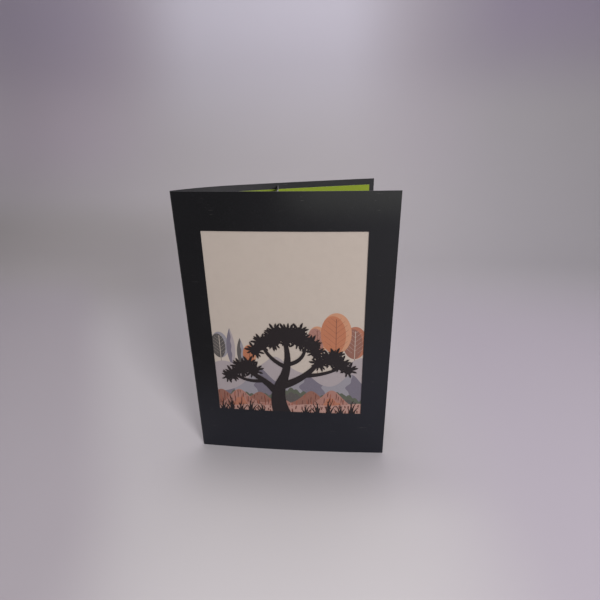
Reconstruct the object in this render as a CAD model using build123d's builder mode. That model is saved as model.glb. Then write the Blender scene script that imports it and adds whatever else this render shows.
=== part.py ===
from build123d import *
from collections import namedtuple
from math import degrees, pi, radians
import os

# A folded greeting card that stands slightly open on its lower edge. The black cover has a
# picture window in its front leaf, with a spreading tree and grass left standing in it as one
# piece with the sheet. A printed sheet is glued behind the window, a folded liner covers the
# inside, and a small pop-up strap bridges the two leaves.
# Millimetres, +Z up. The origin is the foot of the crease, in the middle of the cover's
# thickness. The front leaf's chord runs along +X, and the front of the card faces -Y.

# Driving sizes of the cover
card_width = 127.0
card_height = 177.8
cover_thickness = 0.4

# How the card stands: the front leaf bows a little outwards, and the back leaf leaves the
# crease at a wide angle, bends in near it and runs on almost flat
front_bow = 1.7
back_crease_angle = 45.0
near_bend_angle = 25.0
far_bend_angle = 4.0
near_length_share = 0.3

# Picture window, measured from the edges of the closed front leaf
window_crease_margin = 15.6
window_free_margin = 16.4
window_top_margin = 22.0
window_bottom_margin = 32.7

# Sheets inside the cover, and the layer of glue between them
print_thickness = 0.2
print_lap = 6.0
liner_thickness = 0.2
liner_side_margin = 3.2
liner_end_margin = 3.6
liner_crease_radius = 0.4
glue_gap = 0.1

# Pop-up strap: where its legs leave the leaves, measured from the closed crease edge. Its tabs
# are shorter than its legs at the top and the bottom.
popup_thickness = 0.25
popup_front_reach = 59.0
popup_back_reach = 65.0
popup_tab = 10.0
popup_tab_drop = 6.0
popup_ridge = 1.2
popup_height = 45.0
popup_top_margin = 1.5

# A cutter passes the surface it cuts by this much
overrun = 1.0

# How deep each sheet lies inside the cover's outer face
print_depth = cover_thickness + glue_gap
liner_depth = print_depth + print_thickness + glue_gap
popup_depth = liner_depth + liner_thickness + glue_gap

# Lengths of the leaves along their outer faces, from the crease's bend to the free edge
crease_radius = liner_crease_radius + liner_depth + liner_thickness
leaf_length = card_width - crease_radius
near_length = leaf_length * near_length_share
far_length = leaf_length - near_length

# An arc's sagitta is its length times its turn over eight
front_turn = degrees(8 * front_bow / leaf_length)
front_normal = -90 - front_turn / 2
back_normal = 90 + back_crease_angle
crease_turn = 360 + front_normal - back_normal

# The plan of the card is four tangent arcs. Each keeps its centre, the radius of the cover's
# outer face, the angle at which it starts and its turn. The leaves' arcs start at the crease.
Bend = namedtuple("Bend", "centre radius start turn")


def outward(angle):
    """Unit vector in plan at an angle from +X."""
    return Vector(1, 0).rotate(Axis.Z, angle)


def arc_radius(length, turn):
    """Radius of an arc from its length and its turn in degrees."""
    return length / radians(turn)


crease_middle = outward(back_normal + crease_turn / 2)
crease_centre = crease_middle * (cover_thickness / 2 - crease_radius)
front_radius = arc_radius(leaf_length, front_turn)
near_radius = arc_radius(near_length, near_bend_angle)
far_radius = arc_radius(far_length, far_bend_angle)
front_centre = crease_centre + outward(front_normal) * (crease_radius - front_radius)
near_centre = crease_centre + outward(back_normal) * (crease_radius - near_radius)
far_normal = back_normal - near_bend_angle
far_centre = near_centre + outward(far_normal) * (near_radius - far_radius)

crease = Bend(crease_centre, crease_radius, back_normal, crease_turn)
front = Bend(front_centre, front_radius, front_normal, front_turn)
near = Bend(near_centre, near_radius, back_normal, -near_bend_angle)
far = Bend(far_centre, far_radius, far_normal, -far_bend_angle)


def bend_point(bend, depth, share):
    """Point at a share of a bend's length, at a depth inside the cover's outer face."""
    return bend.centre + outward(bend.start + bend.turn * share) * (bend.radius - depth)


def bend_arc(bend, depth, start_share=0, end_share=1):
    """Stretch of a bend between two shares of its length."""
    turn = bend.turn * (end_share - start_share)
    return CenterArc(bend.centre, bend.radius - depth, bend.start + bend.turn * start_share, turn)


def front_share(distance):
    """Share of the front leaf at a distance from the closed crease edge."""
    return (distance - crease_radius) / leaf_length


def far_share(distance):
    """Share of the back leaf's far bend at a distance from the closed crease edge."""
    return (distance - crease_radius - near_length) / far_length


def strip(run, outer_depth, inner_depth):
    """Plan face of a sheet along a run of bends, each given with its two end shares."""
    first_bend, first_share, _ = run[0]
    last_bend, _, last_share = run[-1]
    with BuildSketch() as profile:
        with BuildLine():
            for depth in (outer_depth, inner_depth):
                for bend, start_share, end_share in run:
                    bend_arc(bend, depth, start_share, end_share)
            for bend, share in ((first_bend, first_share), (last_bend, last_share)):
                Line(bend_point(bend, outer_depth, share), bend_point(bend, inner_depth, share))
        make_face()
    return profile.sketch


def folded_run(margin):
    """Run of a sheet folded at the crease, short of both free edges by a margin."""
    edge = card_width - margin
    return [(front, front_share(edge), 0), (crease, 1, 0), (near, 0, 1), (far, 0, far_share(edge))]


# The window in elevation. A closed card's crease edge lies one crease radius behind the leaf.
window_width = card_width - window_crease_margin - window_free_margin
window_height = card_height - window_top_margin - window_bottom_margin
window_left = bend_point(front, 0, 0).X - crease_radius + window_crease_margin

# The tree and the grass, in shares of the window's width, from its lower left corner.
# A limb runs from its root past a middle point to its tip, and has a radius at both ends.
limb_shares = [
    ((0.47, -0.05), (0.43, 0.11), (0.47, 0.28), 0.066, 0.034),
    ((0.47, 0.28), (0.50, 0.41), (0.485, 0.57), 0.032, 0.012),
    ((0.43, 0.15), (0.35, 0.24), (0.24, 0.32), 0.030, 0.012),
    ((0.46, 0.22), (0.58, 0.28), (0.70, 0.40), 0.030, 0.014),
    ((0.61, 0.305), (0.70, 0.315), (0.83, 0.36), 0.016, 0.009),
    ((0.49, 0.37), (0.41, 0.42), (0.35, 0.50), 0.016, 0.009),
    ((0.49, 0.39), (0.58, 0.43), (0.62, 0.51), 0.016, 0.009),
    ((0.33, 0.255), (0.25, 0.25), (0.14, 0.29), 0.014, 0.008),
]

# Leaf clumps are round lobes: centre and radius
lobe_shares = [
    (0.085, 0.275, 0.030),
    (0.120, 0.300, 0.046),
    (0.185, 0.350, 0.062),
    (0.235, 0.385, 0.036),
    (0.265, 0.335, 0.050),
    (0.285, 0.490, 0.046),
    (0.335, 0.545, 0.056),
    (0.410, 0.575, 0.066),
    (0.425, 0.630, 0.044),
    (0.500, 0.610, 0.078),
    (0.580, 0.640, 0.040),
    (0.585, 0.580, 0.064),
    (0.655, 0.545, 0.054),
    (0.690, 0.485, 0.044),
    (0.715, 0.405, 0.046),
    (0.785, 0.435, 0.058),
    (0.820, 0.465, 0.036),
    (0.850, 0.400, 0.052),
    (0.905, 0.355, 0.040),
]

# A lobe has a solid core, and pointed leaves that start inside it and stand out all round.
# They follow one another by the golden angle and take turns in length, so the crown's edge
# never repeats itself. Widths, bows and roots are shares of a leaf's length.
core_share = 0.75
leaf_length_share = 0.052
leaf_pitch_share = 0.024
leaf_turn_shares = (1.0, 0.7, 0.85)
leaf_width_share = 0.30
leaf_bow_share = 0.05
leaf_root_share = 0.25
leaf_tilt = 18.0
golden_angle = 137.508

# Grass tufts stand on the window's lower edge. Each has its place, its slant and its height,
# and the same fan of blades, given as how far a blade leans and how high it rises.
tuft_shares = [
    (0.03, 0.010, 0.9),
    (0.09, -0.008, 1.3),
    (0.16, 0.006, 0.8),
    (0.23, 0.012, 1.15),
    (0.31, -0.010, 0.7),
    (0.62, 0.008, 0.75),
    (0.70, -0.012, 1.1),
    (0.78, 0.010, 1.4),
    (0.86, -0.006, 0.85),
    (0.94, 0.008, 1.2),
]
blade_shares = [(-0.038, 0.040), (-0.020, 0.070), (0.000, 0.090), (0.018, 0.074), (0.036, 0.046)]
blade_root_share = 0.3
blade_foot_share = 0.014
blade_bow_share = 0.09


def in_window(across, up):
    """Point of the elevation sketch at shares of the window's width."""
    return Vector(window_left + across * window_width, window_bottom_margin + up * window_width)


def limb(root, middle, tip, root_radius_share, tip_radius_share):
    """Tapered limb with curved flanks through three points, and a round root."""
    root, middle, tip = (in_window(*point) for point in (root, middle, tip))
    root_radius = root_radius_share * window_width
    tip_radius = tip_radius_share * window_width
    middle_radius = (root_radius + tip_radius) / 2
    stations = (
        (root, middle - root, root_radius),
        (middle, tip - root, middle_radius),
        (tip, tip - middle, tip_radius),
    )
    with BuildSketch() as outline:
        with BuildLine():
            flanks = []
            for side in (90, -90):
                points = []
                for point, heading, radius in stations:
                    points.append(point + heading.normalized().rotate(Axis.Z, side) * radius)
                flanks.append(ThreePointArc(*points))
            Line(flanks[0] @ 0, flanks[1] @ 0)
            Line(flanks[0] @ 1, flanks[1] @ 1)
        make_face()
        for point, radius in ((root, root_radius), (tip, tip_radius)):
            with Locations(point):
                Circle(radius)
    return outline.sketch


def leaf(base, heading, length):
    """Pointed leaf from its base along a heading, bowed a little to one side."""
    tip = base + heading * length
    middle = (base + tip) / 2
    across = heading.rotate(Axis.Z, 90) * length
    half_width_share = leaf_width_share / 2
    with BuildSketch() as outline:
        with BuildLine():
            ThreePointArc(base, middle + across * (leaf_bow_share + half_width_share), tip)
            ThreePointArc(tip, middle + across * (leaf_bow_share - half_width_share), base)
        make_face()
    return outline.sketch


def clump(centre, radius):
    """Solid core of a lobe with its leaves."""
    core_radius = radius * core_share
    count = round(2 * pi * radius / (leaf_pitch_share * window_width))
    leaves = []
    for index in range(count):
        turn_share = leaf_turn_shares[index % len(leaf_turn_shares)]
        length = leaf_length_share * window_width * turn_share
        angle = golden_angle * index
        base = centre + outward(angle) * (core_radius - length * leaf_root_share)
        leaves.append(leaf(base, outward(angle + leaf_tilt), length))
    with BuildSketch() as outline:
        with Locations(centre):
            Circle(core_radius)
        add(leaves)
    return outline.sketch


def tree():
    """Spreading tree whose trunk, limbs and leaf clumps stay standing in the window."""
    with BuildSketch() as outline:
        for root, middle, tip, root_radius_share, tip_radius_share in limb_shares:
            add(limb(root, middle, tip, root_radius_share, tip_radius_share))
        for across, up, radius_share in lobe_shares:
            add(clump(in_window(across, up), radius_share * window_width))
    return outline.sketch


def blade(root, tip):
    """Blade of grass from a flat foot to a point, which leaves upright and bows over."""
    half_foot = Vector(blade_foot_share * window_width / 2, 0)
    side = 90 if tip.X > root.X else -90
    bow = (tip - root).rotate(Axis.Z, side) * blade_bow_share
    left = root - half_foot
    right = root + half_foot
    with BuildSketch() as outline:
        with BuildLine():
            ThreePointArc(left, (left + tip) / 2 + bow, tip)
            ThreePointArc(tip, (tip + right) / 2 + bow, right)
            Line(right, left)
        make_face()
    return outline.sketch


def grass():
    """Tufts of bowed blades along the window's lower edge, with their feet below it."""
    blades = []
    for across, slant, height in tuft_shares:
        for lean, rise in blade_shares:
            root = in_window(across + lean * blade_root_share, -blade_foot_share)
            tip = in_window(across + lean + slant, rise * height)
            blades.append(blade(root, tip))
    with BuildSketch() as outline:
        add(blades)
    return outline.sketch


with BuildPart() as cover_sheet:
    with BuildSketch():
        add(strip(folded_run(0), 0, cover_thickness))
    extrude(amount=card_height)
    with BuildSketch(Plane.XZ.offset(-overrun)):
        with Locations((window_left, window_bottom_margin)):
            Rectangle(window_width, window_height, align=(Align.MIN, Align.MIN))
        add(tree(), mode=Mode.SUBTRACT)
        add(grass(), mode=Mode.SUBTRACT)
    extrude(amount=front_bow + 2 * crease_radius + 2 * overrun, mode=Mode.SUBTRACT)
cover_sheet.part.label = "cover_sheet"

print_start = front_share(window_crease_margin - print_lap)
print_end = front_share(card_width - window_free_margin + print_lap)
with BuildPart() as picture_sheet:
    with BuildSketch(Plane.XY.offset(window_bottom_margin - print_lap)):
        add(strip([(front, print_start, print_end)], print_depth, print_depth + print_thickness))
    extrude(amount=window_height + 2 * print_lap)
picture_sheet.part.label = "picture_sheet"

with BuildPart() as liner_sheet:
    with BuildSketch(Plane.XY.offset(liner_end_margin)):
        add(strip(folded_run(liner_side_margin), liner_depth, liner_depth + liner_thickness))
    extrude(amount=card_height - 2 * liner_end_margin)
liner_sheet.part.label = "liner_sheet"

# The strap is folded from one strip: a glued tab, a leg to the ridge, a leg back and a tab
front_foot = bend_point(front, popup_depth, front_share(popup_front_reach))
front_tab_end = bend_point(front, popup_depth, front_share(popup_front_reach - popup_tab))
back_foot = bend_point(far, popup_depth, far_share(popup_back_reach))
back_tab_end = bend_point(far, popup_depth, far_share(popup_back_reach - popup_tab))
gap_middle = (front_foot + back_foot) / 2
gap_across = (back_foot - front_foot).normalized()
ridge = gap_middle + gap_across.rotate(Axis.Z, -90) * popup_ridge
popup_bottom = card_height - popup_top_margin - popup_height


def folded_paper(*corners):
    """Plan face of the strap's paper along a folded line, on the line's inner side."""
    with BuildSketch() as profile:
        with BuildLine():
            Polyline(*corners)
            offset(amount=popup_thickness, side=Side.LEFT, closed=True, kind=Kind.INTERSECTION)
        make_face()
    return profile.sketch


with BuildPart() as popup_strap:
    with BuildSketch(Plane.XY.offset(popup_bottom)):
        add(folded_paper(front_foot, ridge, back_foot))
    extrude(amount=popup_height)
    with BuildSketch(Plane.XY.offset(popup_bottom + popup_tab_drop)):
        add(folded_paper(front_tab_end, front_foot, ridge, back_foot, back_tab_end))
    extrude(amount=popup_height - 2 * popup_tab_drop)
popup_strap.part.label = "popup_strap"

os.makedirs("parts", exist_ok=True)
for piece in (cover_sheet, picture_sheet, liner_sheet, popup_strap):
    export_step(piece.part, f"parts/{piece.part.label}.step")
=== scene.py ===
# %% [markdown]
# # A folded greeting card that stands slightly open
# The real card is four papers: a black cover creased once, a printed sheet glued behind the
# window of its front leaf, a lime liner inside, and a pale strap between the leaves. Thin sheets
# are easy to get wrong by hand in Blender, and the solids that come with the frame already have
# the right bends, so nothing is remodelled here. This lesson gives the four solids their
# finishes, then adds a room, a floor, the lamps and a camera.

# %% Load the solids as a fixed frame
from math import cos, pi, radians, sin

import bpy
from mathutils import Matrix, Vector


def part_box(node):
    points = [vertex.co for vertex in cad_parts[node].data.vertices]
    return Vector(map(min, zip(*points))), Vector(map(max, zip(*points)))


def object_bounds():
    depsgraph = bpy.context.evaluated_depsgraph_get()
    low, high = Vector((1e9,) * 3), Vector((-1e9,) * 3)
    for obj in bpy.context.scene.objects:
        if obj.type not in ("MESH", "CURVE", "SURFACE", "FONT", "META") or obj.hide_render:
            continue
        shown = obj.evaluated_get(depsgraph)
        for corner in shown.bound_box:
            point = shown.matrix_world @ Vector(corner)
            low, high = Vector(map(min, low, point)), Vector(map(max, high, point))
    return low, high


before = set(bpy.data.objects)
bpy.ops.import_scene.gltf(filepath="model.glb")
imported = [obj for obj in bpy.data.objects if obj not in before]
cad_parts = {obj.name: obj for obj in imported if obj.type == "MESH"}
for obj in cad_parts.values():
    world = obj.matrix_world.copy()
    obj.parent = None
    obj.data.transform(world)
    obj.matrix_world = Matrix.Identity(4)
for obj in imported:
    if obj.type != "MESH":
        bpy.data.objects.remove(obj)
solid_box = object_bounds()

mm = 0.001
card_low, card_high = solid_box
print("card, mm:", [round(size / mm, 2) for size in card_high - card_low])

# %% [markdown]
# ## Shader maths as Python
# A finish is a tree of nodes. It could be wired by hand in the shader editor, but wires hide
# the sum that they work out. So one small class stands for an output socket, and adding or
# multiplying two of them adds the Math node that does it.

# %% A socket that can be added, multiplied and compared
class Wire:
    """One output socket of a node in a finish."""

    def __init__(self, finish, socket):
        self.finish = finish
        self.socket = socket

    def math(self, operation, first, second=0.0):
        return self.finish.node("Math", {"operation": operation}, {0: first, 1: second})

    def __add__(self, other):
        return self.math("ADD", self, other)

    def __sub__(self, other):
        return self.math("SUBTRACT", self, other)

    def __rsub__(self, other):
        return self.math("SUBTRACT", other, self)

    def __mul__(self, other):
        return self.math("MULTIPLY", self, other)

    def __truediv__(self, other):
        return self.math("DIVIDE", self, other)

    def __rtruediv__(self, other):
        return self.math("DIVIDE", other, self)

    def __abs__(self):
        return self.math("ABSOLUTE", self)

    __radd__ = __add__
    __rmul__ = __mul__

    def squared(self):
        return self * self

    def smaller(self, other):
        return self.math("MINIMUM", self, other)

    def larger(self, other):
        return self.math("MAXIMUM", self, other)

    def floor(self):
        return self.math("FLOOR", self)

    def sine(self):
        return self.math("SINE", self)


# %% [markdown]
# ## One method for any node
# Everything that isn't plain arithmetic, such as noise or a blend of two colours, could have a
# method of its own, but then each new kind of node needs new code. So one method takes the
# node's type, its settings and its inputs, and adds any node.

# %% Nodes
class Nodes:
    """The nodes of a material or of the world."""

    def __init__(self, owner):
        owner.use_nodes = True
        self.owner = owner
        self.tree = owner.node_tree
        self.tree.nodes.clear()

    def node(self, kind, settings=None, values=None, output=0):
        """Adds a node: its settings first, then the value or wire of each input."""
        made = self.tree.nodes.new("ShaderNode" + kind)
        for setting, value in (settings or {}).items():
            setattr(made, setting, value)
        for place, value in (values or {}).items():
            if isinstance(value, Wire):
                self.tree.links.new(value.socket, made.inputs[place])
            else:
                made.inputs[place].default_value = value
        return Wire(self, made.outputs[output])

    def close(self, kind, shader):
        """Joins the last shader to the output."""
        made = self.tree.nodes.new("ShaderNode" + kind)
        self.tree.links.new(shader.socket, made.inputs["Surface"])
        print(self.owner.name, "has", len(self.tree.nodes), "nodes")
        return self.owner


# %% [markdown]
# ## Short names for the nodes of paper
# All papers here need the same few nodes again and again: noise for their grain, steps for
# masks, blends for layers of dye, and relief for their tooth. Short methods give these nodes
# names that say what they are for, and keep the numbers of their sockets in one place.

# %% A finish
class Finish(Nodes):
    """Short ways to add the nodes that a paper needs."""

    def place(self):
        """The point on the object, in metres."""
        return self.node("TexCoord", output="Object")

    def facing(self):
        """The direction that the surface faces."""
        return self.node("NewGeometry", output="Normal")

    def part(self, vector, axis):
        """One part of a point or a direction: X runs across, Y to the back and Z up."""
        return self.node("SeparateXYZ", {}, {0: vector}, axis)

    def noise(self, point, size, detail, roughness=0.5):
        """Soft noise whose spots are about this size."""
        values = {"Vector": point, "Scale": 1 / size, "Detail": detail, "Roughness": roughness}
        return self.node("TexNoise", {}, values)

    def stretched(self, point, scale):
        """The point with each coordinate scaled, to draw noise out along one of them."""
        return self.node("VectorMath", {"operation": "MULTIPLY"}, {0: point, 1: scale})

    def dice(self, first, second):
        """A random number from 0 to 1, the same each time for a pair of whole numbers."""
        pair = self.node("CombineXYZ", {}, {0: first, 1: second})
        return self.node("TexWhiteNoise", {"noise_dimensions": "2D"}, {"Vector": pair})

    def step(self, value, low, high):
        """Rises smoothly from 0 at low to 1 at high."""
        settings = {"interpolation_type": "SMOOTHSTEP"}
        return self.node("MapRange", settings, {0: value, 1: low, 2: high})

    def blend(self, mask, under, over):
        """The colour under, covered by the colour over where the mask is 1."""
        return self.node("Mix", {"data_type": "RGBA"}, {0: mask, 6: under, 7: over}, 2)

    def relief(self, height, depth, strength):
        """A normal that is tilted by a height of 0 to 1 times the depth."""
        return self.node("Bump", {}, {"Height": height, "Distance": depth, "Strength": strength})

    def shown(self):
        """1 for rays that show this to the camera or mirror it, 0 for those that only light."""
        rays = [self.node("LightPath", output=f"Is {kind} Ray")
                for kind in ("Camera", "Glossy", "Transmission")]
        return rays[0].larger(rays[1]).larger(rays[2])

    def paper(self, **values):
        """The paper shader. Underscores in the names of its inputs stand for spaces."""
        inputs = {name.replace("_", " "): value for name, value in values.items()}
        return self.node("BsdfPrincipled", {}, inputs)


# %% [markdown]
# ## Colours and solids
# Shaders reckon with linear light, in which a dark grey is a very small number that is hard to
# judge. So colours are written here as a picture shows them, in steps from 0 to 255, and turned
# into linear values. Each finish then goes onto the solid of one paper, in the slot that the
# solid already has.

# %% A colour as it is seen
def seen(red, green, blue):
    """A colour as a picture shows it, turned into the linear values that shaders use."""
    linear = []
    for level in (red, green, blue):
        share = level / 255
        linear.append(share / 12.92 if share <= 0.04045 else ((share + 0.055) / 1.055) ** 2.4)
    return (*linear, 1.0)


# %% Dress a solid
def dress(name, material):
    """Gives a solid its finish, in the slot that the solid already has."""
    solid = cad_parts[name]
    solid.material_slots[0].material = material


# %% [markdown]
# ## Where the faces of a sheet are
# A solid sheet has two broad faces and thin cut edges, and each looks different. They could be
# told apart by material slots, but the direction that the surface faces does it too, and keeps
# one material per sheet: a cut edge faces along the sheet, so up, down or along the width. Here
# and below, a pair of values says where a change starts and where it is complete.

# %% Cut edges
level_from = (0.5, 0.8)
broad_from = (0.25, 0.45)
crease_turn = (2 * mm, 2.5 * mm)


def level_edge(finish, facing):
    """1 on the cut edges that face up or down."""
    return finish.step(abs(finish.part(facing, "Z")), *level_from)


def cut_edge(finish, across, facing):
    """1 on every cut edge of a folded sheet, but not where the crease itself turns."""
    upright = 1 - finish.step(abs(finish.part(facing, "Y")), *broad_from)
    upright = upright * finish.step(across, *crease_turn)
    return level_edge(finish, facing).larger(upright)


# %% [markdown]
# ## Where the window is
# The printed sheet laps behind the window by the same amount on all sides, so the window can be
# read from the sheet's own box. The black card is browner in the window, and the picture is
# drawn in shares of its width, so both finishes need these values.

# %% The window's frame
print_lap = 6.0 * mm
print_low, print_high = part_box("picture_sheet")
window_left = print_low.x + print_lap
window_foot = print_low.z + print_lap
window_wide = print_high.x - print_low.x - 2 * print_lap
window_tall = print_high.z - print_low.z - 2 * print_lap
print("window, mm:", round(window_wide / mm, 1), "by", round(window_tall / mm, 1))

# %% [markdown]
# ## The black card
# Black card is dyed through. Close up it has a felt-like grain, a few stray fibres and a soft
# sheen. The sheet could be a single dark colour, but then it looks like plastic: the cloudy
# dye, the grain in the bump, and the roughness that changes with it make it read as card.

# %% Dye and fibres
card_cloud = 38 * mm
card_grain = 0.6 * mm
card_felt = 3.5 * mm
card_relief = 0.10 * mm
curl_size = 2.2 * mm
fibre_patch = 8 * mm


def black_dye(finish, point, grain, felt):
    """A cloudy black, paler where the grain stands up."""
    cloud = finish.noise(point, card_cloud, 2.0)
    dye = finish.blend(cloud, seen(4, 5, 6), seen(9, 9, 12))
    dye = finish.blend(finish.step(grain, 0.44, 0.70) * 0.6, dye, seen(24, 24, 27))
    return finish.blend(finish.step(felt, 0.5, 0.75) * 0.4, dye, seen(7, 8, 9))


def stray_fibres(finish, point):
    """1 on thin curly lines in a few patches. A line is where a noise crosses its middle."""
    curl = finish.noise(point, curl_size, 1.5)
    line = 1 - finish.step(abs(curl - 0.5), 0.0, 0.008)
    return line * finish.step(finish.noise(point, fibre_patch, 1.0), 0.60, 0.68)


# %% [markdown]
# ## Painted sheen and scuffs
# The black card carries a painted sheen: it is greyer towards its free edge and its foot, and
# palest at the top of the front leaf towards the free edge. A few scuffs of wear make it this
# card and not just any. These could be painted in an image, but masks made from the place on
# the card stay sharp and need no file.

# %% Painted sheen and scuffs
sheen_edge = (15 * mm, 120 * mm)
sheen_foot = (5 * mm, 80 * mm)
cool_sheen_foot = (40 * mm, 120 * mm)
corner_sheen_edge = (50 * mm, 86 * mm)
corner_sheen_top = (157 * mm, 178 * mm)
scuff_size = 1.3 * mm
scuff_patch = 14 * mm


def painted_sheen(finish, dye, across, up):
    """Painted sheen: greyer towards the free edge and the foot, and cooler towards the foot."""
    sheen_mask = finish.step(across, *sheen_edge).larger(1 - finish.step(up, *sheen_foot))
    grey = finish.blend(finish.step(up, *cool_sheen_foot), seen(33, 34, 43), seen(32, 32, 35))
    return finish.blend(sheen_mask * 0.7, dye, grey)


def painted_corner_sheen(finish, across, up):
    """1 where the sheen is painted palest: at the top, towards the free edge."""
    return finish.step(across, *corner_sheen_edge) * finish.step(up, *corner_sheen_top)


def scuffs(finish, point, corner_sheen):
    """1 on short lines in a few patches, strongest in the corner where the sheen is painted."""
    streak = finish.noise(finish.stretched(point, (0.22, 1.0, 1.6)), scuff_size, 2.0)
    patch = finish.step(finish.noise(point, scuff_patch, 1.0), 0.56, 0.66)
    return finish.step(streak, 0.66, 0.72) * patch * (0.3 + corner_sheen * 0.7)


# %% [markdown]
# ## Traces of the making, and painted sheen inside
# A laser cut the window, which left its edges and the thin limbs of the tree a little brown.
# Inside, the back leaf is painted greyer near the crease, a painted sheen where it is seen at a
# low angle. Each leaf could have a material of its own, but they are one sheet, so a mask tells
# them apart: the back leaf lies behind a plane that leans out from the crease.

# %% Leaves, window and painted inner sheen
leaf_plane_slope = 0.15
leaf_gap = 0.8 * mm
window_edge = 1 * mm
inner_sheen_thins = (36 * mm, 66 * mm)
inner_sheen_ends = (80 * mm, 112 * mm)


def back_leaf(finish, across, out):
    """1 on the back leaf and 0 on the front one."""
    return finish.step(out - across * leaf_plane_slope, 0.0, leaf_gap)


def in_window(finish, across, up):
    """1 in the window, from the least of the gaps to its four sides."""
    right_gap = window_left + window_wide - across
    upper_gap = window_foot + window_tall - up
    gap = (across - window_left).smaller(right_gap).smaller(upper_gap)
    return finish.step(gap.smaller(up - window_foot), 0.0, window_edge)


def inner_sheen(finish, across):
    """How much painted sheen greys the inside: all of it near the crease, little at the free
    edge.
    """
    return 1 - finish.step(across, *inner_sheen_thins) * 0.65 - finish.step(across, *inner_sheen_ends) * 0.2


# %% [markdown]
# ## Crease and edges of the black card
# Along the crease the stretched fibres show fine pale cracks. The dye goes right through, so the
# cut edges are dark too, only greyer where the knife has roughened them. They are very thin, and
# a thin edge in the same black would vanish against the leaf behind it, so the finish gives them
# a tone of their own.

# %% Crease, rim and knife edges
crease_width = (0.1 * mm, 1.6 * mm)
crack_size = 1.6 * mm
rim_width = 0.5 * mm
burr_size = 0.9 * mm


def crease_cracks(finish, point, across):
    """1 on fine upright cracks along the crease."""
    cracks = finish.noise(finish.stretched(point, (9.0, 9.0, 0.5)), crack_size, 3.0)
    return (1 - finish.step(across, *crease_width)) * finish.step(cracks, 0.5, 0.66)


def level_rim(finish, up):
    """1 on the outermost strip along the top and the foot."""
    middle_height = card_high.z / 2
    return finish.step(abs(up - middle_height), middle_height - rim_width, middle_height)


def knife_edges(finish, dye, point, across, facing, window):
    """Grey and rough on the cut edges, and brown on those of the window."""
    burr = finish.noise(finish.stretched(point, (1.0, 8.0, 1.0)), burr_size, 2.0)
    tone = finish.blend(window, seen(74, 71, 72), seen(88, 66, 56))
    return finish.blend(cut_edge(finish, across, facing) * (0.35 + burr * 0.4), dye, tone)


# %% Black card
def black_card():
    finish = Finish(bpy.data.materials.new("black_card_finish"))
    point = finish.place()
    across, out, up = (finish.part(point, axis) for axis in "XYZ")
    facing = finish.facing()
    grain = finish.noise(point, card_grain, 4.0, 0.62)
    felt = finish.noise(point, card_felt, 2.0)
    fibre = stray_fibres(finish, point)
    behind = back_leaf(finish, across, out)
    corner_sheen = painted_corner_sheen(finish, across, up)
    window = in_window(finish, across, up) * (1 - behind)
    inside = behind * finish.step(finish.part(facing, "Y") * -1, 0.3, 0.5)
    inner_sheen_mask = inside * inner_sheen(finish, across) * (0.7 + felt * 0.3)
    rim = level_rim(finish, up) * finish.step(grain, 0.35, 0.6)

    # Painted sheen: greyer and cooler towards the free edge and the foot, palest at the top
    # corner.
    dye = painted_sheen(finish, black_dye(finish, point, grain, felt), across, up)
    dye = finish.blend(corner_sheen * (1 - behind) * 0.9, dye, seen(46, 47, 46))
    dye = finish.blend(window * 0.8, dye, seen(36, 29, 30))
    # Painted sheen: the inside of the back leaf is greyer near the crease.
    dye = finish.blend(inner_sheen_mask, dye, seen(58, 56, 60))
    dye = finish.blend(scuffs(finish, point, corner_sheen) * 0.7, dye, seen(96, 92, 90))
    dye = finish.blend(fibre * 0.4, dye, seen(52, 51, 54))
    dye = finish.blend(crease_cracks(finish, point, across) * 0.5, dye, seen(66, 65, 68))
    dye = finish.blend(rim * 0.35, dye, seen(58, 57, 60))
    dye = knife_edges(finish, dye, point, across, facing, window)

    paper = finish.paper(
        Base_Color=dye,
        Roughness=0.31 + grain * 0.10 + felt * 0.06,
        Specular_IOR_Level=0.22,
        Sheen_Weight=0.04,
        Sheen_Roughness=0.5,
        Normal=finish.relief(grain * 0.7 + felt * 0.3 + fibre * 0.2, card_relief, 0.9),
    )
    return finish.close("OutputMaterial", paper)


dress("cover_sheet", black_card())

# %% [markdown]
# ## A picture from flat inks
# The print on the sheet is a landscape in a few flat inks with crisp edges. It could be an
# image texture, but an expression stays sharp at any distance and needs no file. Each shape is
# an expression that is positive inside the shape, a short step makes its edge as crisp as a
# printed one, and the inks are laid over each other from the far trees to the near field.
# Places and sizes are shares of the window's width, from its lower left corner.

# %% Shapes in ink
crisp = 0.0014


class Picture:
    """The print so far. Every shape is laid over the inks that are already there."""

    def __init__(self, finish, x, z, sheet):
        self.finish = finish
        self.x = x
        self.z = z
        self.ink = sheet

    def lay(self, mask, colour):
        self.ink = self.finish.blend(mask, self.ink, colour)

    def inside(self, depth):
        """1 where the depth inside a shape is above nought."""
        return self.finish.step(depth, 0.0, crisp)

    def under(self, base, *humps):
        """Depth below a line of hills. A hump has its middle, half width and rise."""
        crest = base
        for middle, half_width, rise in humps:
            crest = crest + rise / (1 + ((self.x - middle) / half_width).squared())
        return crest - self.z

    def oval(self, middle, height, half_width, half_height):
        """Depth inside an upright oval."""
        wide = ((self.x - middle) / half_width).squared()
        tall = ((self.z - height) / half_height).squared()
        return (1 - wide - tall) * (half_width / 2)

    def spire(self, middle, height, half_width, half_height):
        """Depth inside a slender shape that is pointed at its top and its foot."""
        wide = abs(self.x - middle) / half_width
        tall = ((self.z - height) / half_height).squared()
        return (1 - wide - tall) * half_width


# %% [markdown]
# ## Pen strokes
# The earth in the print is hatched by hand, and no two strokes are alike. They could be drawn
# one by one, but there are hundreds. So the picture is cut into columns and each column into
# rows, every cell holds one stroke, and a random number that is fixed for its cell makes the
# stroke longer or shorter, moves it aside and bends it.

# %% Strokes in columns
row_shift = 7
shortest = 0.14
longer_by = 0.34
nib = 0.36
bend_rate = 60
bend_depth = 0.10
stray = 0.5
soft_edge = 0.05


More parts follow.
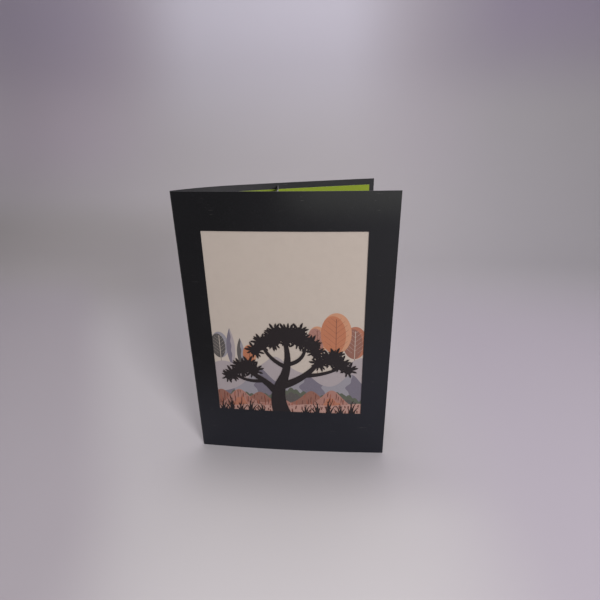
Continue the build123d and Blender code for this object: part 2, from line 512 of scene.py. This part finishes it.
def strokes(picture, pitch, length, seed, lean):
    """1 on the strokes. Apart from pitch and length, sizes are shares of a cell."""
    lane = picture.x / pitch + picture.z * lean
    column = lane.floor()
    chance = picture.finish.dice(column, seed)
    row = picture.z / length + chance * row_shift
    rank = row.floor()
    luck = picture.finish.dice(column + seed, rank)
    taper = 1 - abs(row - rank - 0.5) / (luck * longer_by + shortest)
    half_line = taper.smaller(0.5) * nib
    bend = ((picture.z + chance) * bend_rate).sine() * bend_depth
    off_line = abs(lane - column - 0.5 + (chance - 0.5) * stray + bend)
    return picture.finish.step(half_line - off_line, 0.0, soft_edge)


# %% [markdown]
# ## The inks
# A printed landscape in this style holds together because it has few inks. Each could be mixed
# where it is used, but then they drift apart, so every ink is mixed once here and has a name.
# The sheet itself is uncoated cream paper, and where no ink lies it is the sky.

# %% Inks
bare_paper = seen(188, 176, 165)
terracotta = seen(176, 112, 82)
pale_terracotta = seen(190, 138, 108)
red_brown = seen(98, 58, 50)
brick = seen(142, 84, 68)
deep_lilac = seen(110, 104, 116)
grey_lilac = seen(141, 137, 144)
pale_lilac = seen(160, 150, 152)
slate = seen(82, 78, 76)
olive_slate = seen(84, 88, 76)
pink_earth = seen(158, 114, 103)
dark_earth = seen(134, 92, 80)
orange_earth = seen(166, 108, 86)
rose_earth = seen(172, 134, 124)

# %% [markdown]
# ## The trees in the print
# A round tree is an oval crown with a paler side towards the light, a stem and slanting veins,
# so that the tree looks like a leaf. A cypress is a slender spire with one darker side. Their
# parts are shares of the crown, so one function draws each kind at any size. Both take the
# middle and the height of the crown's centre, then half its width and half its height.

# %% A round tree
stem_half = 0.0024


def round_tree(picture, middle, height, half_width, half_height, inks):
    """A crown with a lit side, a stem that runs down below it, and veins."""
    crown_ink, lit_ink, line_ink, stem_ink = inks
    stem_top = height + half_height * 0.72
    stem = (stem_half - abs(picture.x - middle)).smaller(stem_top - picture.z)
    picture.lay(picture.inside(stem), stem_ink)

    crown = picture.oval(middle, height, half_width, half_height)
    picture.lay(picture.inside(crown), lit_ink)
    shade_middle = middle - half_width * 0.22
    shade_height = height - half_height * 0.1
    shade = picture.oval(shade_middle, shade_height, half_width * 0.86, half_height * 0.96)
    picture.lay(picture.inside(crown.smaller(shade)), crown_ink)

    vein_pitch = half_height * 0.27
    vein_foot = height - half_height * 0.62
    slant = (picture.z - abs(picture.x - middle) * 0.9) / vein_pitch
    vein = 0.045 - abs(slant - slant.floor() - 0.5)
    veins = picture.inside(vein * 0.03) * picture.inside(crown - half_width * 0.16)
    picture.lay(veins * picture.inside(picture.z - vein_foot), line_ink)
    picture.lay(picture.inside(stem.smaller(crown)), line_ink)


# %% A cypress
def cypress(picture, middle, height, half_width, half_height, inks):
    """A spire whose left half is the darker one."""
    shade_ink, lit_ink = inks
    spire = picture.spire(middle, height, half_width, half_height)
    picture.lay(picture.inside(spire), lit_ink)
    wavering = ((picture.z - height) * 90).sine() * 0.0025
    left_side = middle + half_width * 0.12 - picture.x + wavering
    picture.lay(picture.inside(spire.smaller(left_side)), shade_ink)


# %% The row of trees
def tree_row(picture):
    """Trees of two kinds behind the hills. The tallest one is laid over its neighbours."""
    terracotta_tree = (terracotta, pale_terracotta, red_brown, red_brown)
    rose_tree = (pink_earth, pale_terracotta, red_brown, red_brown)
    earth_tree = (dark_earth, orange_earth, bare_paper, red_brown)
    slate_tree = (slate, grey_lilac, bare_paper, slate)
    round_tree(picture, 0.045, 0.520, 0.060, 0.100, slate_tree)
    round_tree(picture, 0.700, 0.575, 0.066, 0.105, rose_tree)
    round_tree(picture, 0.945, 0.560, 0.078, 0.120, earth_tree)
    round_tree(picture, 0.822, 0.625, 0.100, 0.150, terracotta_tree)
    cypress(picture, 0.120, 0.500, 0.030, 0.150, (deep_lilac, pale_lilac))
    cypress(picture, 0.185, 0.465, 0.026, 0.115, (slate, grey_lilac))
    round_tree(picture, 0.245, 0.455, 0.046, 0.075, terracotta_tree)


# %% [markdown]
# ## The land in the print
# The far hills are pale lilac and the nearer ones grey-lilac with dark slopes. Bushes stand in
# front of them, and then come mounds of pink and brown earth with pen strokes. A line of hills
# could be drawn point by point, but a sum of humps gives a smooth crest from three numbers each.

# %% Hills and bushes
def hills(picture):
    """Two rows of hills. Wavering bands give the near row its dark slopes."""
    far = picture.under(0.24, (0.05, 0.16, 0.14), (0.42, 0.11, 0.17), (1.0, 0.16, 0.20))
    picture.lay(picture.inside(far), pale_lilac)
    near = picture.under(0.12, (0.30, 0.10, 0.22), (0.62, 0.10, 0.16), (0.93, 0.09, 0.18))
    picture.lay(picture.inside(near), grey_lilac)
    wavering = (picture.z * 38).sine() * 0.02 + (picture.z * 95).sine() * 0.006
    lane = (picture.x + wavering + 0.03) / 0.315
    left_half = 0.5 - (lane - lane.floor())
    picture.lay(picture.inside(near.smaller(left_half * 0.1) - 0.001), deep_lilac)


def scallops(picture):
    """The height of a leafy outline, from two rows of arches."""
    small = abs((picture.x * 70).sine()) * 0.016
    large = abs((picture.x * 31 + 1).sine()) * 0.020
    return small + large


def bushes(picture, scallop):
    """Bushes with a darker inside."""
    row = picture.under(0.075, (0.14, 0.08, 0.05), (0.52, 0.14, 0.09), (0.86, 0.07, 0.06))
    picture.lay(picture.inside(row + scallop), olive_slate)
    picture.lay(picture.inside(row + scallop * 0.8 - 0.030), slate)


# %% Mounds and field
def mounds(picture, scallop):
    """Two rows of mounds, hatched with a broad pen in brick and a fine one in red-brown."""
    far = picture.under(0.0, (0.02, 0.10, 0.15), (0.30, 0.09, 0.13), (0.66, 0.10, 0.17))
    picture.lay(picture.inside(far), dark_earth)
    near = picture.under(-0.02, (0.15, 0.10, 0.18), (0.44, 0.09, 0.10), (0.80, 0.11, 0.20))
    picture.lay(picture.inside(near), pink_earth)
    picture.lay(picture.inside(near - 0.045 - scallop), orange_earth)
    earth = near.larger(far)
    broad_pen = strokes(picture, pitch=0.027, length=0.17, seed=5.0, lean=0.25)
    picture.lay(picture.inside(earth - 0.006) * broad_pen, brick)
    fine_pen = strokes(picture, pitch=0.019, length=0.110, seed=3.0, lean=0.8)
    picture.lay(picture.inside(earth - 0.010) * fine_pen, red_brown)


def front_field(picture):
    """The field at the foot of the window, with short furrows."""
    field = picture.under(0.018, (0.25, 0.10, 0.030), (0.62, 0.16, 0.035), (1.0, 0.2, 0.06))
    picture.lay(picture.inside(field), rose_earth)
    furrows = strokes(picture, pitch=0.030, length=0.050, seed=9.0, lean=-1.2)
    picture.lay(picture.inside(field - 0.006) * furrows, red_brown)


# %% [markdown]
# ## The printed sheet
# Inks on uncoated paper mottle a little and let its tooth show through. The inks could cover the
# whole sheet, but a real one is printed on one side, so a mask from the direction that the
# surface faces leaves the back of the sheet and its cut edges bare.

# %% Printed sheet
print_tooth = 0.45 * mm
print_mottle = 5 * mm
print_relief = 0.025 * mm


def printed_sheet():
    finish = Finish(bpy.data.materials.new("printed_sheet_finish"))
    point = finish.place()
    x = (finish.part(point, "X") - window_left) / window_wide
    z = (finish.part(point, "Z") - window_foot) / window_wide
    picture = Picture(finish, x, z, bare_paper)
    scallop = scallops(picture)
    tree_row(picture)
    hills(picture)
    bushes(picture, scallop)
    mounds(picture, scallop)
    front_field(picture)

    tooth = finish.noise(point, print_tooth, 4.0, 0.6)
    mottle = finish.noise(point, print_mottle, 3.0, 0.6)
    ink = finish.blend(finish.step(mottle, 0.35, 0.8) * 0.05, picture.ink, seen(120, 104, 98))
    ink = finish.blend(finish.step(tooth, 0.5, 0.8) * 0.12, ink, seen(206, 196, 186))
    printed = finish.step(finish.part(finish.facing(), "Y") * -1, 0.35, 0.6)
    bare = finish.blend(mottle, bare_paper, seen(196, 186, 174))

    paper = finish.paper(
        Base_Color=finish.blend(printed, bare, ink),
        Roughness=0.68 + tooth * 0.12 + mottle * 0.06,
        Specular_IOR_Level=0.3,
        Normal=finish.relief(tooth, print_relief, 0.5),
    )
    return finish.close("OutputMaterial", paper)


dress("picture_sheet", printed_sheet())

# %% [markdown]
# ## The lime liner
# The liner is bright paper dyed through, folded with the cover and glued to it along the
# crease. Its dye is a little cloudy and its tooth is finer than the card's. Its cut edge
# catches the light from above and looks much paler than its faces. Lamps alone hardly show that
# on so thin a sheet, so the edge carries a painted highlight.

# %% Lime liner
liner_tooth = 0.5 * mm
liner_cloud = 18 * mm
liner_pulp = 1.4 * mm
liner_relief = 0.03 * mm


def lime_liner():
    finish = Finish(bpy.data.materials.new("lime_liner_finish"))
    point = finish.place()
    tooth = finish.noise(point, liner_tooth, 4.0, 0.6)
    cloud = finish.noise(point, liner_cloud, 2.0)
    pulp = finish.step(finish.noise(point, liner_pulp, 2.0), 0.62, 0.70)
    edge = cut_edge(finish, finish.part(point, "X"), finish.facing())

    dye = finish.blend(cloud, seen(126, 142, 32), seen(137, 153, 40))
    dye = finish.blend(finish.step(tooth, 0.5, 0.8) * 0.4, dye, seen(156, 170, 72))
    dye = finish.blend(pulp * 0.3, dye, seen(106, 122, 30))
    # Painted highlight: the cut edge is pale where it catches the light from above.
    dye = finish.blend(edge, dye, seen(196, 200, 172))

    paper = finish.paper(
        Base_Color=dye,
        Roughness=0.66 + tooth * 0.16,
        Specular_IOR_Level=0.3,
        Normal=finish.relief(tooth, liner_relief, 0.5),
    )
    return finish.close("OutputMaterial", paper)


dress("liner_sheet", lime_liner())

# %% [markdown]
# ## The pale strap
# The strap that bridges the leaves is smooth, pale card. Smooth card is calendered, pressed
# between rollers, so its tooth is faint and drawn out. Its cut edge, which shows as a short
# tick between the leaves, is duller than its faces. Parts of the strap face along the width, as
# a cut edge would, so only the level edges are masked.

# %% Pale strap
strap_tooth = 0.5 * mm
strap_cloud = 10 * mm
strap_relief = 0.02 * mm


def pale_strap():
    finish = Finish(bpy.data.materials.new("pale_strap_finish"))
    point = finish.place()
    tooth = finish.noise(finish.stretched(point, (1.0, 1.0, 0.4)), strap_tooth, 3.0, 0.6)
    cloud = finish.noise(point, strap_cloud, 2.0)
    edge = level_edge(finish, finish.facing())

    dye = finish.blend(cloud, seen(164, 161, 164), seen(176, 172, 174))
    dye = finish.blend(finish.step(tooth, 0.5, 0.8) * 0.3, dye, seen(188, 185, 186))
    dye = finish.blend(edge * 0.9, dye, seen(112, 109, 112))

    paper = finish.paper(
        Base_Color=dye,
        Roughness=0.55 + tooth * 0.15,
        Specular_IOR_Level=0.35,
        Normal=finish.relief(tooth, strap_relief, 0.5),
    )
    return finish.close("OutputMaterial", paper)


dress("popup_strap", pale_strap())

# %% [markdown]
# ## The room
# The room around the card is as pale as the paper that it stands on, and so is its reflection.
# As a light that strong it would wash out the shadows, so the Light Path node tells the two
# apart: rays that show the room to the camera, or mirror it, meet the pale tone, and the rays
# that light the surfaces meet a much weaker one.

# %% Room
room_light = 0.05
room_tone = 0.42
room_tint = (0.98, 0.95, 1.0, 1.0)


def room():
    studio = Finish(bpy.data.worlds.new("studio"))
    strength = studio.shown() * (room_tone - room_light) + room_light
    air = studio.node("Background", {}, {"Color": room_tint, "Strength": strength})
    return studio.close("OutputWorld", air)


bpy.context.scene.world = room()

# %% [markdown]
# ## Floor and backdrop
# A studio lays one long sheet of pale paper under a small product and lets it sweep up behind,
# so that no corner shows. A plane and a wall would meet in a line, so the sheet here is one
# strip of faces along a profile: flat, a quarter turn, and straight up. Sizes are in metres.

# %% Sweep
floor_front = -0.9
floor_back = 0.42
sweep_radius = 0.32
wall_top = 1.4
sweep_half_width = 1.6
turn_steps = 24


def sweep():
    profile = [(floor_front, 0.0), (floor_back, 0.0)]
    for count in range(1, turn_steps + 1):
        turn = pi / 2 * count / turn_steps
        profile.append((floor_back + sweep_radius * sin(turn), sweep_radius * (1 - cos(turn))))
    profile.append((floor_back + sweep_radius, wall_top))
    points = [(side * sweep_half_width, y, z) for y, z in profile for side in (-1, 1)]
    faces = [(2 * i, 2 * i + 1, 2 * i + 3, 2 * i + 2) for i in range(len(profile) - 1)]
    mesh = bpy.data.meshes.new("sweep")
    mesh.from_pydata(points, [], faces)
    mesh.shade_smooth()
    made = bpy.data.objects.new("sweep", mesh)
    bpy.context.scene.collection.objects.link(made)
    print("sweep has", len(faces), "faces")
    return made


backdrop = sweep()

# %% [markdown]
# ## The tones of the sweep
# The light of a real studio isn't even: the wall is brightest high in the middle, duller and
# more lilac at its sides, and the floor is palest in front of the product. More lamps could do
# that, but they would light the card as well, so the paper carries these tones itself. Each one
# comes in slowly, so no edge shows. Places are in metres from the card's crease on the floor.

# %% Tones towards the back
brightest_across = -0.05


def back_tones(finish, across, back, up):
    """Painted light and shade on the wall and the floor near it: the masks, each with its tone.
    """
    aside = finish.step(abs(across - brightest_across), 0.14, 0.46)
    high_middle = finish.step(up, 0.10, 0.44) * (1 - aside)
    low_sides = finish.step(up, 0.02, 0.20) * aside
    high_sides = finish.step(up, 0.20, 0.42) * aside
    far_right = finish.step(across, 0.06, 0.46) * finish.step(back, 0.0, 0.15)
    upper_right = finish.step(across, 0.20, 0.44) * finish.step(up, 0.20, 0.42)
    return [
        (high_middle, seen(220, 215, 228)),
        (low_sides, seen(197, 186, 198)),
        (high_sides, seen(180, 170, 188)),
        (far_right, seen(180, 175, 180)),
        (upper_right, seen(162, 152, 170)),
    ]


# %% Tones on the floor
left_slant = 0.58
front_middle_across = 0.075


def floor_tones(finish, across, back, up):
    """Painted shade and light on the floor around the card: the masks, each with its tone."""
    left_back = (1 - finish.step(across, -0.24, -0.02)) * finish.step(back, 0.15, 0.33)
    left_back = left_back * (1 - finish.step(up, 0.01, 0.08))
    right = finish.step(across, 0.08, 0.24) * (1 - finish.step(back, 0.15, 0.42))
    left = 1 - finish.step(across + back * left_slant, -0.11, -0.045)
    left = left * (1 - finish.step(back, 0.20, 0.40))
    front_middle = 1 - finish.step(abs(across - front_middle_across), 0.03, 0.14)
    front_middle = front_middle * (1 - finish.step(back, -0.06, -0.01))
    # Painted shadow behind the card to the left, painted shade to its right and along the left,
    # and a painted pool of light in front that stops short of its foot.
    return [
        (left_back, seen(182, 176, 177)),
        (right, seen(184, 175, 186)),
        (left, seen(178, 170, 177)),
        (front_middle, seen(208, 202, 205)),
    ]


# %% [markdown]
# ## The paper of the sweep
# Far from the card, where the lamps no longer reach, the strip would end as a dark edge in the
# side and back views. A longer strip would only move that edge, so the paper fades into the
# tone of the room there, for the rays that show it and not for those that light the card.

# %% Sweep paper
sweep_cloud = 0.2
sweep_tooth = 1.2 * mm
sweep_relief = 0.05 * mm
fade_aside = (0.55, 1.1)
fade_front = (0.22, 0.75)


def sweep_paper():
    finish = Finish(bpy.data.materials.new("sweep_paper"))
    point = finish.place()
    across, back, up = (finish.part(point, axis) for axis in "XYZ")
    cloud = finish.noise(point, sweep_cloud, 1.0)
    tooth = finish.noise(point, sweep_tooth, 3.0, 0.6)
    dye = finish.blend(cloud, seen(190, 184, 188), seen(194, 188, 192))
    tones = back_tones(finish, across, back, up) + floor_tones(finish, across, back, up)
    for mask, tone in tones:
        dye = finish.blend(mask, dye, tone)

    paper = finish.paper(
        Base_Color=dye,
        Roughness=0.8 + tooth * 0.1,
        Specular_IOR_Level=0.2,
        Normal=finish.relief(tooth, sweep_relief, 0.3),
    )
    away = finish.step(abs(across), *fade_aside).larger(finish.step(back * -1, *fade_front))
    glow = finish.node("Emission", {}, {"Color": room_tint, "Strength": room_tone})
    fade = finish.node("MixShader", {}, {0: away * finish.shown(), 1: paper, 2: glow})
    return finish.close("OutputMaterial", fade)


backdrop.data.materials.append(sweep_paper())

# %% [markdown]
# ## Lamps
# The light is soft and plain. One bare bulb would cut hard shadows, so the lamps are disks. The
# main one stands low to the right of the camera, a weaker one high in front fills the shadows,
# and a wide one above the card gives the floor in front of it a soft shadow.

# %% Lamps
def lamp(name, place, aim, size, power):
    light = bpy.data.lights.new(name, "AREA")
    light.shape = "DISK"
    light.size = size
    light.energy = power
    made = bpy.data.objects.new(name, light)
    made.location = place
    made.rotation_euler = (aim - Vector(place)).to_track_quat("-Z", "Y").to_euler()
    made.visible_camera = False
    bpy.context.scene.collection.objects.link(made)
    print(name, "of", power, "W")


middle = (card_low + card_high) / 2
lamp("right_lamp", place=(0.58, -0.74, 0.48), aim=middle, size=0.35, power=7.1)
lamp("front_lamp", place=(0.10, -0.50, 1.10), aim=middle, size=0.5, power=1.5)
lamp("top_lamp", place=(0.05, 0.20, 1.00), aim=middle, size=0.8, power=4.9)

# %% [markdown]
# ## Camera
# The camera stands a little above the card's top, close to it and right of its middle, and
# looks down at its front leaf. It could be aimed with a target, but three turns give its roll
# too. So near, the upright edges run together towards the floor. The lens is given as the
# distance to the picture in pixels, which turns into millimetres of focal length.

# %% Camera
picture_size = 600
focal_pixels = 421.84
sensor_width = 36.0
nearest = 0.01
farthest = 20.0
camera_place = Vector((93.16, -231.22, 213.28)) * mm
camera_yaw = radians(-5.41)
camera_dip = radians(23.239)
camera_roll = radians(-1.072)

lens = bpy.data.cameras.new("camera")
lens.sensor_width = sensor_width
lens.lens = sensor_width * focal_pixels / picture_size
lens.clip_start = nearest
lens.clip_end = farthest
camera = bpy.data.objects.new("camera", lens)
aimed = Matrix.Rotation(-camera_yaw, 4, "Z") @ Matrix.Rotation(pi / 2 - camera_dip, 4, "X")
rolled = Matrix.Rotation(camera_roll, 4, "Z")
camera.matrix_world = Matrix.Translation(camera_place) @ aimed @ rolled
bpy.context.scene.collection.objects.link(camera)
bpy.context.scene.camera = camera
bpy.context.scene.view_settings.view_transform = "Standard"
print("lens, mm:", round(lens.lens, 2))
